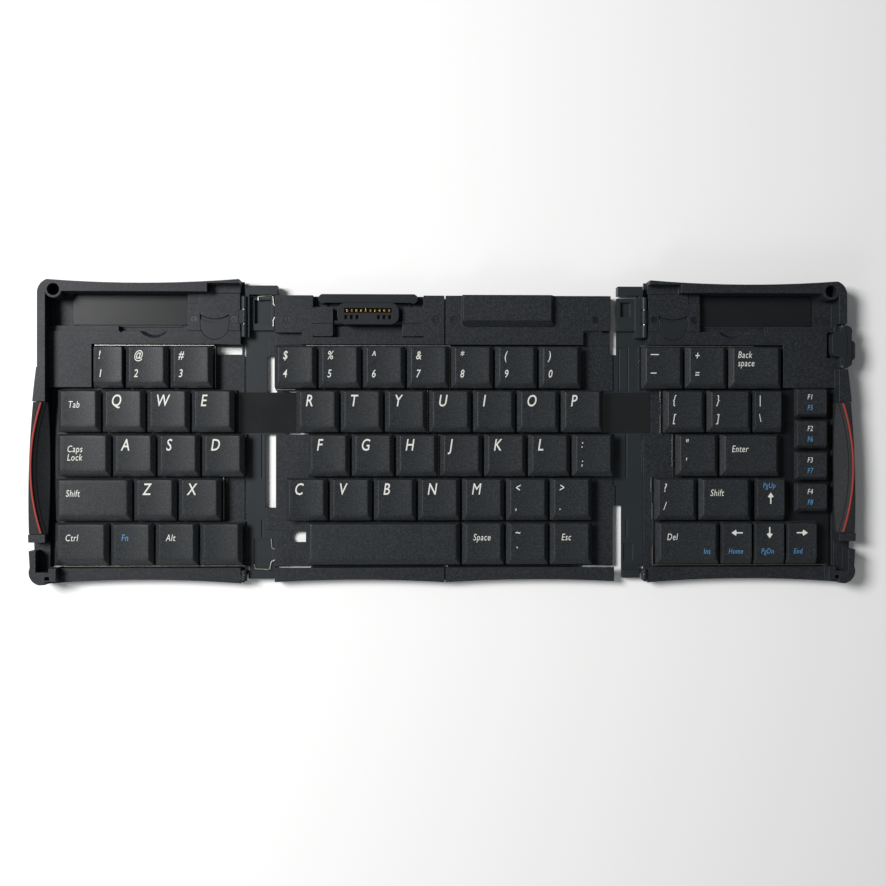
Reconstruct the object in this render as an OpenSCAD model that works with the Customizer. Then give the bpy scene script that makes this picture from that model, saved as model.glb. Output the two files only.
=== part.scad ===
// Pocket keyboard that folds like an accordion: four sections, three hinge lines.
// Drawn open and flat, keys up, with the two end sections pulled outwards.
// X runs along the key rows from the centre hinge, Y towards the rear, Z up from the table.

/* [Overall] */
// Distance from the centre hinge to the outermost point of either grip
half_w = 177.4; // [177:0.1:178.5]
// Depth of the case from front to rear
depth = 130.6; // [130:0.2:132]
// Height of the rubber feet, which is the height of the undersides
foot_h = 1.5; // [1.4:0.1:1.8]
// Height of the end hinge axes above the undersides
end_axis_rise = 4.8; // [4.8:0.1:5.2]

/* [Keys] */
// Distance from one key to the next
pitch = 19; // [18.9:0.05:19]
// Gap between two keycaps
cap_gap = 0.8; // [0.6:0.1:1]
// Height of a keycap
cap_h = 2.5; // [2.3:0.1:2.5]
// Travel of a key
travel = 3; // [2.6:0.1:3]
// Depth of the finger hollow in a cap's top
dish = 0.25; // [0.1:0.05:0.3]

/* [Sheet parts] */
// Thickness of the moulded floors
floor_t = 0.8; // [0.7:0.1:0.8]
// Thickness of the steel key plates
plate_t = 0.5; // [0.4:0.1:0.5]

/* [Hinges] */
// Distance from the centre hinge to each end hinge axis
end_axis = 86.5; // [86.3:0.1:86.7]
// Radius of the end hinge pins
end_pin_r = 0.6; // [0.5:0.05:0.65]
// Radius of the centre hinge pin
mid_pin_r = 0.6; // [0.5:0.05:0.6]
// Running clearance round a hinge pin
run = 0.05; // [0.04:0.01:0.08]

/* [Device dock] */
// Number of contacts in the connector
contacts = 10; // [6:1:10]
// Spacing of the contacts
contact_pitch = 2; // [1.8:0.1:2.1]

/* [Hidden] */
$fn = 48;
e = 0.02;

// Heights, from the table up
z0 = foot_h;
floor_top = z0 + floor_t;
margin_z = z0 + 0.9;
plate_z = z0 + 1.5;
plate_top = plate_z + plate_t;
axis_z = z0 + end_axis_rise;
deck_z = axis_z - 0.05;
cap_z = deck_z - cap_h + travel;
mid_z = z0 - 0.1;
rim_z = 2 * axis_z - mid_z - 0.05;

// Depth lines, from the middle of the depth
rear = depth / 2;
front = -depth / 2;
rim_y = rear - 5.4;
block_y = 59.05;
label_y = 43.5;
deck_y = 37.9;
bar_y = -58.6;

// Lines along X, as distances from the centre hinge
mid_gap = 0.3;
riser_x = 57;
margin_x = 58.1;
frame_x = 73.4;
slide_in_x = 69.1;
slide_out_x = 86.8;
tray_x = 87;
tray_clear_x = 88.1;
barrel_r = 1.25;
barrel_room = 1.5;
block_z = deck_z - 2.3;
tunnel_z = deck_z - 1.9;
tall_x = end_axis + 15;
label_x = 110.8;
label_out_x = 161.5;
wall_x = 170;
case_x = 173.4;
socket = [166.6, 60.7];
button = [99.2, 46.1];
button_r = 6.1;
button_gap = 0.2;
button_dip = 11.4;
tray_screw_x = [90.9, 108.2];
stem_r = 1.5;
stem_gap = 1.05;
screw_y = 48.7;
screw_r = 1.5;

// Latch, on the right outer wall
latch_x = 172.6;
latch_z = deck_z + 2.6;
latch_pin_r = 0.75;
lobe_x = 167;
lobe_y = [32.6, 43.2];

// Grip, a rubber part let into the outer wall, that slopes down to the keys
grip_y = -15.3;
grip_half = 28.2;
grip_x = 172.4;
grip_in_x = 169.5;
grip_low = deck_z - 1.2;
grip_top = rim_z - 0.3;
swell_y = -29;
swell_r = 440;
ridge_x = 176.2;
ridge_r = 90;
slope_w = 7;
step_y = 27.6;

// Connector shell and the bar that it tips up on
shell_x = [-46.3, -19.9];
shell_y = [46.3, 55.4];
shell_z = [floor_top + 0.3, 9.2];
shell_pins = [16.9, 49.8];
tilt_y = 47.6;
tilt_z = floor_top + 2.1;
tilt_r = 1.1;
contact_x = (shell_x[0] + shell_x[1]) / 2;
contact_y = 52.2;

// Rows, front to rear centre lines
row_y = [for (row = [0 : 4]) 28 - row * pitch];
row_front = row_y[4] - pitch / 2 - 0.4;
row_rear = row_y[0] + pitch / 2 - 0.2;
sheet_gap = 0.2;

// Where each row starts and how wide its keys are, in key pitches
left_start = [-150.95, -166.1, -166.5, -166.95, -167.3];
left_keys = [[0.72, 1, 1], [1, 1, 1, 1], [1.25, 1, 1, 1], [1.75, 1, 1], [1.25, 1, 1, 1]];
mid_left_start = [-73.8, -64.3, -59.55, -69.05, -60.2];
mid_left_keys = [[1, 1, 1, 1], [1, 1, 1], [1, 1, 1], [1, 1, 1, 1], [3.534]];
mid_right_start = [2.2, -7.3, -2.55, 6.95, 6.95];
mid_right_keys = [[1, 1, 1], [1, 1, 1, 1], [1, 1, 1, 1], [1, 1, 1], [1, 1, 1]];
right_start = [84.6, 94.1, 99.45, 90.15, 90.7];
right_keys = [[1, 1, 1.25], [1, 1.06, 0.69], [1.02, 1.41], [1.02, 1.24, 0.06, 0.71],
              [1.5, 0.75, 0.745, 0.745]];
narrow = 0.5;
app_x = [151.4, 166.5];
app_y = [12.8, -0.8, -14.5, -28.2];
app_d = 12.6;
plate_out_x = 168.5;
inset = 1.9;

function total(list, n) = n <= 0 ? 0 : list[n - 1] + total(list, n - 1);
function key_left(start, keys, row, k) = start[row] + pitch * total(keys[row], k);
function row_end(start, keys, row) = key_left(start, keys, row, len(keys[row]));

// Small shapes

module slab(x0, y0, z0, x1, y1, z1)
    translate([x0, y0, z0]) cube([x1 - x0, y1 - y0, z1 - z0]);

module round_slab(x0, y0, z0, x1, y1, z1, r)
    translate([0, 0, z0]) linear_extrude(z1 - z0) round_plan(x0, y0, x1, y1, r);

module round_plan(x0, y0, x1, y1, r) {
    translate([x0 + r, y0]) square([x1 - x0 - 2 * r, y1 - y0]);
    translate([x0, y0 + r]) square([x1 - x0, y1 - y0 - 2 * r]);
    for (x = [x0 + r, x1 - r], y = [y0 + r, y1 - r]) translate([x, y]) circle(r);
}

// A round bar along Y
module bar_y(x, y0, z, y1, r)
    translate([x, y1, z]) rotate([90, 0, 0]) cylinder(h = y1 - y0, r = r);

// A round bar along X
module bar_x(x0, y, z, x1, r)
    translate([x0, y, z]) rotate([0, 90, 0]) cylinder(h = x1 - x0, r = r);

// The right half is drawn, and the left half is its mirror image
module on_side(side) mirror([side < 0 ? 1 : 0, 0, 0]) children();

// Keys

// One cap: a side outline along X crossed with a front outline along Y, hollow below.
// Its top is a finger hollow, except on the widest keys, where it is flat.
module keycap(w, d) {
    half = w / 2;
    side = w < 0.8 * pitch ? inset / 3 : inset;
    r = pow(w - 2 * side - 0.4, 2) / (8 * dish);
    difference() {
        intersection() {
            rotate([90, 0, 0]) translate([0, 0, -d / 2]) linear_extrude(d) difference() {
                polygon([[-half, 0], [half, 0], [half, 0.6], [half - side, cap_h],
                    [side - half, cap_h], [-half, 0.6]]);
                if (w < 1.6 * pitch) translate([0, cap_h - dish + r]) circle(r, $fn = 360);
            }
            rotate([90, 0, 90]) translate([0, 0, -half]) linear_extrude(w)
                polygon([[-d / 2, 0], [d / 2, 0], [d / 2, 0.8], [d / 2 - 0.9, cap_h],
                    [2.9 - d / 2, cap_h], [1.6 - d / 2, cap_h - 0.35], [0.6 - d / 2, cap_h - 1.1]]);
        }
        slab(1.5 - half, 1.8 - d / 2, -e, half - 1.5, d / 2 - 1.3, cap_h - 0.75);
    }
}

module key_row(start, keys, row) {
    d = pitch - cap_gap;
    for (k = [0 : len(keys[row]) - 1]) {
        w = pitch * keys[row][k] - cap_gap;
        if (keys[row][k] > narrow)
            translate([key_left(start, keys, row, k) + w / 2 + cap_gap / 2, row_y[row], cap_z])
                keycap(w, d);
    }
}

module left_row(row) color([0.15, 0.16, 0.18]) key_row(left_start, left_keys, row);
module mid_left_row(row) color([0.15, 0.16, 0.18]) key_row(mid_left_start, mid_left_keys, row);
module mid_right_row(row) color([0.15, 0.16, 0.18]) key_row(mid_right_start, mid_right_keys, row);
module right_row(row) color([0.15, 0.16, 0.18]) key_row(right_start, right_keys, row);

module right_app_keys() color([0.15, 0.16, 0.18])
    for (y = app_y)
        translate([(app_x[0] + app_x[1]) / 2, y, cap_z])
            keycap(app_x[1] - app_x[0] - cap_gap, app_d - 0.2);

// Steel key plates, whose ends step with the rows

// A flat sheet of five strips from x0[row] to x1[row], each joined to the next where both lie
module stepped_sheet(x0, x1, z, t) {
    for (row = [0 : 4]) {
        y0 = row == 4 ? row_front : row_y[row] - pitch / 2 + sheet_gap / 2;
        y1 = row == 0 ? row_rear : row_y[row] + pitch / 2 - sheet_gap / 2;
        slab(x0[row] + sheet_gap, y0, z, x1[row] - sheet_gap, y1, z + t);
    }
    for (row = [0 : 3]) {
        y = row_y[row] - pitch / 2;
        slab(max(x0[row], x0[row + 1]) + sheet_gap, y - sheet_gap, z,
            min(x1[row], x1[row + 1]) - sheet_gap, y + sheet_gap, z + t);
    }
}

function row_ends(start, keys) = [for (row = [0 : 4]) row_end(start, keys, row)];

// Tongues that run in the grooves of the front bar and the rear deck
module plate_tongues(side)
    on_side(side) for (x = [120, 136]) {
        slab(x, row_front - 0.7, plate_z, x + 10.5, row_front + e, plate_top);
        slab(x, row_rear - e, plate_z, x + 10.5, row_rear + 0.9, plate_top);
    }

// The outer edge of an end plate is straight, but for the corner deck beside its rear row
module left_key_plate() color([0.75, 0.76, 0.74]) {
    stepped_sheet([left_start[0] - 0.6, for (row = [1 : 4]) -plate_out_x],
        row_ends(left_start, left_keys), plate_z, plate_t);
    plate_tongues(-1);
}

module right_key_plate() color([0.75, 0.76, 0.74]) {
    stepped_sheet(right_start, [row_end(right_start, right_keys, 0) + 0.6,
        for (row = [1 : 4]) plate_out_x], plate_z, plate_t);
    plate_tongues(1);
}

module mid_left_key_plate() color([0.75, 0.76, 0.74])
    stepped_sheet(mid_left_start, row_ends(mid_left_start, mid_left_keys), plate_z, plate_t);

module mid_right_key_plate() color([0.75, 0.76, 0.74])
    stepped_sheet(mid_right_start, row_ends(mid_right_start, mid_right_keys), plate_z, plate_t);

// Rubber dome sheets: a thin sheet, and a hollow dome under the middle of each key

dome_z = plate_top + 0.15;

module dome(x, y) translate([x, y, dome_z - e]) difference() {
    union() {
        cylinder(h = 0.9, r = 2.6, $fn = 32);
        cylinder(h = cap_z + cap_h - 0.8 - dome_z, r = 1.9, $fn = 32);
    }
    translate([0, 0, 0.3]) cylinder(h = 2.4, r = 1.3, $fn = 32);
}

module dome_row(start, keys, row)
    for (k = [0 : len(keys[row]) - 1])
        if (keys[row][k] > narrow)
            dome(key_left(start, keys, row, k) + pitch * keys[row][k] / 2, row_y[row]);

module dome_sheet(start, keys) {
    stepped_sheet([for (x = start) x + 0.6], [for (x = row_ends(start, keys)) x - 0.6],
        plate_top + 0.01, dome_z - plate_top);
    for (row = [0 : 4]) dome_row(start, keys, row);
}

module left_dome_sheet() color([0.5, 0.52, 0.55]) dome_sheet(left_start, left_keys);
module mid_left_dome_sheet() color([0.5, 0.52, 0.55]) dome_sheet(mid_left_start, mid_left_keys);
module mid_right_dome_sheet() color([0.5, 0.52, 0.55]) dome_sheet(mid_right_start, mid_right_keys);
module right_dome_sheet() color([0.5, 0.52, 0.55]) {
    dome_sheet(right_start, right_keys);
    for (y = app_y) dome((app_x[0] + app_x[1]) / 2, y);
    slab(row_end(right_start, right_keys, 2) - 1.2, app_y[3] - 6, plate_top + 0.01,
        app_x[1] - 1, app_y[0] + 5, dome_z + 0.01);
}

// Scissor links: two crossed levers on each side of a dome

module lever(y, lean) {
    rise = cap_z + cap_h - 0.8 - dome_z;
    run_y = 6;
    angle = atan(rise / run_y);
    reach = sqrt(rise * rise + run_y * run_y) - 1.2;
    translate([0, y, dome_z + rise / 2]) rotate([lean * angle, 0, 0])
        cube([0.8, reach, 0.7], center = true);
}

module scissor(x, y, w = pitch) {
    for (side = [-1, 1]) translate([x + side * min(4.6, w / 2 - 2.8), 0, 0]) {
        translate([-0.45, 0, 0]) lever(y, 1);
        translate([0.45, 0, 0]) lever(y, -1);
        bar_x(-0.8, y, dome_z + (cap_z + cap_h - 0.8 - dome_z) / 2, 0.8, 0.45);
    }
}

module scissor_rows(start, keys)
    for (row = [0 : 4], k = [0 : len(keys[row]) - 1])
        if (keys[row][k] > narrow)
            scissor(key_left(start, keys, row, k) + pitch * keys[row][k] / 2, row_y[row],
                pitch * keys[row][k]);

module left_scissors() color([0.85, 0.85, 0.82]) scissor_rows(left_start, left_keys);
module mid_left_scissors() color([0.85, 0.85, 0.82]) scissor_rows(mid_left_start, mid_left_keys);
module mid_right_scissors() color([0.85, 0.85, 0.82])
    scissor_rows(mid_right_start, mid_right_keys);
module right_scissors() color([0.85, 0.85, 0.82]) {
    scissor_rows(right_start, right_keys);
    for (y = app_y) scissor((app_x[0] + app_x[1]) / 2, y);
}

// End trays

// Plan of a tray: rounded outer corners, front and rear drawn in by 2 mm, and an
// outer side that steps out beside the keys and swells gently from there to the front
module tray_plan() {
    sag = 1.8;
    span = case_x - tray_x;
    r = span * span / (8 * sag) + sag / 2;
    difference() {
        union() {
            translate([tray_x, front]) square([span - 6, depth]);
            translate([tray_x, 0]) square([span, rear - 6]);
            translate([case_x - 6, rear - 6]) circle(6, $fn = 96);
            intersection() {
                swell_plan();
                translate([tray_x, front + 5.5]) square([100, step_y - front - 5.5]);
            }
            translate([half_w - 6, front + 5.5]) circle(5.5, $fn = 96);
            translate([tray_x, front]) square([half_w - 6 - tray_x, 6]);
        }
        for (s = [-1, 1]) translate([tray_x + span / 2, s * (rear - sag + r)])
            circle(r, $fn = 720);
    }
}

module swell_plan() translate([half_w - swell_r, swell_y]) circle(swell_r, $fn = 1080);

// Where the grip lies, seen from above
module grip_plan(x, grow = 0)
    translate([x - grow, grip_y - grip_half - grow])
        square([20, 2 * (grip_half + grow)]);

module tray(side) on_side(side) {
    difference() {
        union() {
            // Floor
            translate([0, 0, z0]) linear_extrude(floor_t) tray_plan();
            // Outer wall, rear rim, front bar
            translate([0, 0, z0]) linear_extrude(rim_z - z0) intersection() {
                tray_plan();
                union() {
                    translate([wall_x, front - 1]) square([20, depth + 2]);
                    translate([tall_x, rim_y]) square([wall_x - tall_x + 1, 10]);
                    translate([tray_x + 1, rear - 1.8]) square([90, 10]);
                }
            }
            translate([0, 0, z0]) linear_extrude(deck_z - z0) intersection() {
                tray_plan();
                union() {
                    translate([tray_clear_x, rim_y]) square([wall_x - tray_clear_x + 1, 10]);
                    translate([tray_clear_x, front - 1]) square([90, bar_y - front + 1]);
                }
            }
            // Deck along the rear of the keys, and the block beside the label panel
            slab(tray_clear_x, deck_y, z0, wall_x + e, label_y, deck_z);
            // Boss round the corner socket
            translate([socket[0], socket[1], z0]) cylinder(h = rim_z - z0, r = 3.6);
            // Front outer corner: a frame as high as the rim
            slab(165.5, front + 1.6, z0, half_w - 6, bar_y + 0.5, rim_z);
            // Corner deck behind the outermost keys
            slab(side < 0 ? 151.9 : 147.4, 19.3, z0, wall_x + e, deck_y + e, deck_z);
            // Raised label panel, left bare
            slab(label_x + 3, label_y + 2, z0, label_out_x - 3, rim_y - 2, floor_top + 0.3);
            // Low ledge along the front of the panel
            slab(140.5, label_y - e, z0, wall_x + e, label_y + 2.3, deck_z - 0.9);
            // Rails under the key plate
            for (rail = [[101, 30.5], [100, -10], [94, -50]])
                slab(rail[0], rail[1] - 1, z0, 149, rail[1] + 1, plate_z - 0.1);
            // Bosses under the two cover screws
            for (x = tray_screw_x) translate([x, screw_y, z0]) cylinder(h = deck_z - 1.3 - z0, r = 1.9);
            // Hinge knuckles, one at the rear and one in the front bar
            tray_knuckle(46.8, 52.7);
            tray_knuckle(-64, -61.7);
        }
        // Room for the knuckles of the hinge slide
        for (y = [[40.8, 46.6], [52.9, 58.6], [-61.6, -59.4]])
            bar_y(end_axis, y[0], axis_z, y[1], barrel_room);
        // Pin bores
        bar_y(end_axis, -64.5, axis_z, 60, end_pin_r + run);
        // Release button
        translate([0, 0, floor_top]) linear_extrude(20) button_plan(button_gap);
        // Bores of the latch
        if (side > 0) bar_y(latch_x, 25.5, latch_z, 48.4, latch_pin_r + run);
        // Finger scoop in front of the label panel
        translate([125.2, label_y + 4.6, deck_z - 1.6]) cylinder(h = 2.4, r1 = 6.2, r2 = 8.3, $fn = 96);
        slab(138.4, label_y - 0.6, deck_z - 1.4, 139.8, label_y + 1, deck_z + 1);
        // Corner socket
        translate([socket[0], socket[1], rim_z - 8]) cylinder(h = 9, r = 2.6);
        // Screw bores
        for (x = tray_screw_x) translate([x, screw_y, z0 + 0.6]) cylinder(h = 9, r = 0.85);
        // Through slot between the cover and the keys
        slab(tray_clear_x, 33.7, z0 - 1, 99, 37.1, floor_top + 0.5);
        // Grooves for the tongues of the key plate
        slab(90, bar_y - 0.8, plate_z - 0.1, 165, bar_y + e, plate_top + 0.2);
        slab(90, deck_y - e, plate_z - 0.1, 147.2, deck_y + 0.6, plate_top + 0.2);
        // Bed of the grip
        translate([0, 0, z0 - 1]) linear_extrude(20) grip_plan(grip_x, 0.1);
        translate([0, 0, grip_low - 0.1]) linear_extrude(20) grip_plan(grip_in_x - 2, 0.1);
        // Recess and small square hole in the front outer corner
        slab(wall_x - 1.5, -59.8, z0 + 3, half_w - 3.4, -47, rim_z + 1);
        slab(half_w - 3.5, -50.6, z0 + 3, half_w + 1, -47, rim_z + 1);
        slab(168.2, -63.2, rim_z - 3, 170.2, -61.6, rim_z + 1);
        // Notches in the wall
        if (side > 0) slab(wall_x - 1, 27.2, deck_z, case_x + 5, 46.7, rim_z + 1);
        // Pocket under the inner lobe of the latch
        if (side > 0) slab(lobe_x - 0.5, lobe_y[0] - 0.4, deck_z - 2.9, latch_x - 0.6, lobe_y[1] + 0.4, deck_z + 1);
    }
    // Tube that guides the stem of the release button
    translate([button[0], button[1], floor_top - e]) difference() {
        cylinder(h = 1.5, r = 2.6);
        translate([0, 0, -1]) cylinder(h = 4, r = stem_r + run);
    }
}

// A knuckle on an arm that reaches over from the tray
module tray_knuckle(y0, y1) {
    bar_y(end_axis, y0, axis_z, y1, barrel_r);
    slab(end_axis, y0, axis_z - barrel_r, tray_clear_x + 0.6, y1, deck_z);
}

module left_tray() color([0.17, 0.18, 0.2]) tray(-1);
module right_tray() color([0.17, 0.18, 0.2]) tray(1);

// Cover over the release button, held by two screws
module cover() difference() {
    union() {
        slab(tray_clear_x + 0.2, label_y + 0.2, deck_z - 1.2, label_x, rim_y - 0.2, deck_z);
        slab(label_x - 0.6, label_y + 0.2, floor_top + 0.02, label_x, rim_y - 0.2, deck_z);
    }
    linear_extrude(20) button_plan(button_gap);
    // Shallow step in the outer rear corner
    slab(105.8, 55.4, deck_z - 0.35, 120, 70, deck_z + 1);
    for (x = tray_screw_x) translate([x, screw_y, 0]) {
        cylinder(h = 20, r = 0.9);
        translate([0, 0, deck_z - 0.5]) cylinder(h = 2, r = screw_r + 0.1);
    }
    bar_y(end_axis, 40, axis_z, 60, barrel_room);
    slab(end_axis, 46.6, 0, tray_clear_x + 0.8, 52.9, 20);
}

module left_cover() color([0.17, 0.18, 0.2]) on_side(-1) cover();
module right_cover() color([0.17, 0.18, 0.2]) on_side(1) cover();

// Screws with a cross recess
module screw(x, y, head_z, length) translate([x, y, head_z]) difference() {
    union() {
        cylinder(h = 0.45, r = screw_r);
        translate([0, 0, -length]) cylinder(h = length + e, r = 0.8);
    }
    for (turn = [0, 90]) rotate([0, 0, turn]) slab(-0.9, -0.18, 0.2, 0.9, 0.18, 1);
}

module tray_screws() for (x = tray_screw_x) screw(x, screw_y, deck_z - 0.5, 3);
module left_screws() color([0.62, 0.62, 0.6]) on_side(-1) tray_screws();
module right_screws() color([0.62, 0.62, 0.6]) on_side(1) tray_screws();

// Plan of a button: round in front, straight at the sides, hollow towards the rear
module button_plan(grow = 0) difference() {
    union() {
        translate(button) circle(button_r + grow, $fn = 96);
        translate([button[0] - button_r - grow, button[1]])
            square([2 * (button_r + grow), 4.6 + grow]);
    }
    translate([button[0], button[1] + 2.6 + button_dip]) circle(button_dip - grow, $fn = 180);
}

// Button with a hollow finger step, on a stem that runs in a tube of the tray
module release_button() {
    difference() {
        translate([0, 0, floor_top + 1.2]) linear_extrude(deck_z - floor_top - 1.3) button_plan();
        // The rear half of the top lies lower, and the step is curved
        translate([button[0], button[1] + 1 + button_dip, deck_z - 0.7])
            cylinder(h = 3, r = button_dip, $fn = 180);
        translate([button[0], button[1], floor_top + 1]) cylinder(h = 1.6, r = 3.2);
    }
    translate([button[0], button[1], floor_top + stem_gap]) cylinder(h = 2, r = stem_r);
}

module left_release_button() color([0.15, 0.16, 0.18]) on_side(-1) release_button();
module right_release_button() color([0.15, 0.16, 0.18]) on_side(1) release_button();

// Grip: its outer face follows the swell of the tray, its inner face is a hollow cone
module grip() difference() {
    intersection() {
        translate([0, 0, z0 + 0.2]) linear_extrude(grip_top - z0 - 0.2) swell_plan();
        union() {
            translate([0, 0, z0 + 0.2]) linear_extrude(20) grip_plan(grip_x);
            translate([0, 0, grip_low]) linear_extrude(20) grip_plan(grip_in_x);
        }
    }
    translate([ridge_x - ridge_r, grip_y, grip_low + 0.9])
        cylinder(h = grip_top - grip_low - 0.9 + e, r1 = ridge_r - slope_w, r2 = ridge_r + e, $fn = 360);
}
module left_grip() color([0.45, 0.2, 0.17]) on_side(-1) grip();
module right_grip() color([0.45, 0.2, 0.17]) on_side(1) grip();

module feet() for (x = [104, 160], y = [-48, 50])
    translate([x, y, 0]) cylinder(h = z0, r = 4);
module left_feet() color([0.12, 0.12, 0.12]) on_side(-1) feet();
module right_feet() color([0.12, 0.12, 0.12]) on_side(1) feet();

// Latch lever on the right wall, turning on pins along Y
module latch() color([0.2, 0.21, 0.22]) {
    bar_y(latch_x, 27.8, latch_z, 46.1, 2);
    bar_y(latch_x, 25.8, latch_z, 48.1, latch_pin_r);
    // Outer plate with a nub, and the inner lobe
    round_slab(latch_x - 1.6, 28, latch_z - 1.6, half_w - 1.8, 46, latch_z + 1.9, 2.4);
    round_slab(latch_x, 31, latch_z - 1.2, half_w - 0.2, 39.5, latch_z + 1.5, 1.6);
    round_slab(lobe_x, lobe_y[0], latch_z - 1.9, latch_x + 1, lobe_y[1], latch_z + 2.1, 2.2);
}

// Hinge slides: the narrow strips between the trays and the frames

module slide_knuckle(y0, y1) {
    bar_y(end_axis, y0, axis_z, y1, barrel_r);
    slab(end_axis - barrel_r, y0, z0, end_axis, y1, axis_z);
}

module hinge_slide(side) on_side(side) {
    difference() {
        union() {
            slab(slide_in_x, -58.3, z0, slide_out_x, 58.3, floor_top);
            // Rear block with a pocket, and the end piece that laps behind the frame
            slab(side < 0 ? frame_x + 0.5 : 75, label_y + 0.6, z0, 84.6, 58.3, block_z);
            slab(side < 0 ? 72.3 : 75, 59.3, z0, 85.9, 63.2, deck_z);
            slab(84.3, 58, z0, 85.9, 59.4, deck_z);
            // Front end piece
            slab(side < 0 ? frame_x + 0.2 : 77.2, -63.4, z0, 84.9, -60, deck_z - 1.6);
            slab(side < 0 ? frame_x + 0.2 : 77.2, -60.1, z0, 84.9, -58.1, floor_top);
            // Raised bars beside the tray
            slab(side < 0 ? 84.3 : 82.8, 40.9, z0, end_axis - barrel_r - 0.1, 58.4, deck_z - 0.1);
            slide_knuckle(41, 46.4);
            slide_knuckle(53.1, 58.4);
            slide_knuckle(-61.4, -59.6);
        }
        if (side < 0) slab(frame_x + 1.8, 47, floor_top, 82.4, 57.3, deck_z);
        if (side > 0) slab(76.6, 50.2, floor_top, 80.9, 56.6, deck_z);
        // Windows beside the frame, and narrow gaps beside the tray
        if (side < 0) {
            slab(frame_x - 0.4, -32.8, z0 - 1, 77.9, -1, floor_top + 1);
            slab(frame_x - 0.4, 16.8, z0 - 1, 77.2, 32.8, floor_top + 1);
            slab(slide_out_x - 0.6, 17, z0 - 1, 90, 37.5, floor_top + 1);
            slab(slide_out_x - 0.6, -38, z0 - 1, 90, -20.7, floor_top + 1);
        } else {
            slab(72.2, 33.8, z0 - 1, 75, 59.4, floor_top + 1);
            slab(72.6, -59.6, z0 - 1, 77.2, -32, floor_top + 1);
            slab(slide_out_x - 0.8, -20.7, z0 - 1, 90, -0.8, floor_top + 1);
        }
        // Shallow grooves that leave long ribs
        for (y = [[-20, -0.8], [-46, -38]])
            slab(79, y[0], floor_top - 0.3, 79.8, y[1], floor_top + 1);
        if (side < 0) slab(74.8, -57.6, floor_top - 0.35, 83, -46.5, floor_top + 0.5);
        if (side > 0) slab(78.2, -56, floor_top - 0.4, 82.4, -48.8, floor_top + 0.5);
        if (side > 0) difference() {
            slab(76, 17.6, floor_top - 0.35, 80.4, 37, floor_top + 1);
            slab(76.5, 18.1, floor_top - 1, 79.9, 36.5, floor_top + 2);
        }
        bar_y(end_axis, -64.5, axis_z, 60, end_pin_r + run);
    }
}

module left_hinge_slide() color([0.2, 0.21, 0.23]) hinge_slide(-1);
module right_hinge_slide() color([0.2, 0.21, 0.23]) hinge_slide(1);

module hinge_pins() {
    bar_y(end_axis, 41.2, axis_z, 58.2, end_pin_r);
    bar_y(end_axis, -63.8, axis_z, -59.7, end_pin_r);
}
module left_hinge_pins() color([0.72, 0.72, 0.7]) on_side(-1) hinge_pins();
module right_hinge_pins() color([0.72, 0.72, 0.7]) on_side(1) hinge_pins();

module ribbon() slab(64.3, -0.3, floor_top + 0.05, 89.6, 17.3, floor_top + 0.2);
module left_ribbon() color([0.1, 0.1, 0.11]) on_side(-1) ribbon();
module right_ribbon() color([0.1, 0.1, 0.11]) on_side(1) ribbon();

// Centre frames

// What both frames share, drawn for the right side
module centre_shell() {
    difference() {
        union() {
            slab(mid_gap, bar_y - e, z0, margin_x, deck_y, floor_top);
            slab(riser_x, bar_y - e, z0, margin_x, deck_y, margin_z + 0.5);
            slab(riser_x, bar_y - e, margin_z, frame_x, deck_y, margin_z + 0.5);
            slab(mid_gap, deck_y - e, z0, frame_x, block_y, deck_z);
            front_bar();
            for (x = [10, 30, 50], y = [30, -12, -45])
                translate([x, y, z0]) cylinder(h = plate_z - z0, r = 1.5);
        }
        // Tunnel for the hinge slide at the rear and in the front bar
        slab(margin_x, label_y - 0.2, z0 - 1, frame_x + 1, 58.6, tunnel_z);
        slab(margin_x, 30, z0 - 1, frame_x + 1, 58.6, margin_z);
        slab(margin_x, -64.1, z0 - 1, frame_x + 1, -58, deck_z - 1.2);
        // Channel for the ribbon
        slab(riser_x - 5, -1, floor_top, frame_x + 1, 18, plate_z - e);
        // Room for the knuckles of the centre hinge
        bar_y(0, front - 1, mid_z, rear, 1.65);
    }
}

module front_bar()
    translate([0, 0, z0]) linear_extrude(deck_z - z0) difference() {
        translate([mid_gap, front]) square([frame_x - mid_gap, bar_y - front]);
        translate([frame_x / 2 + 2, front - 600 + 1.6]) circle(600, $fn = 720);
    }

// A knuckle of the centre hinge, with its web
module mid_knuckle(y0, y1) difference() {
    union() {
        bar_y(0, y0, mid_z, y1, 1.3);
        slab(0, y0, mid_z, 2.3, y1, mid_z + 1.3);
    }
    bar_y(0, y0 - 1, mid_z, y1 + 1, mid_pin_r + run);
}

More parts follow.
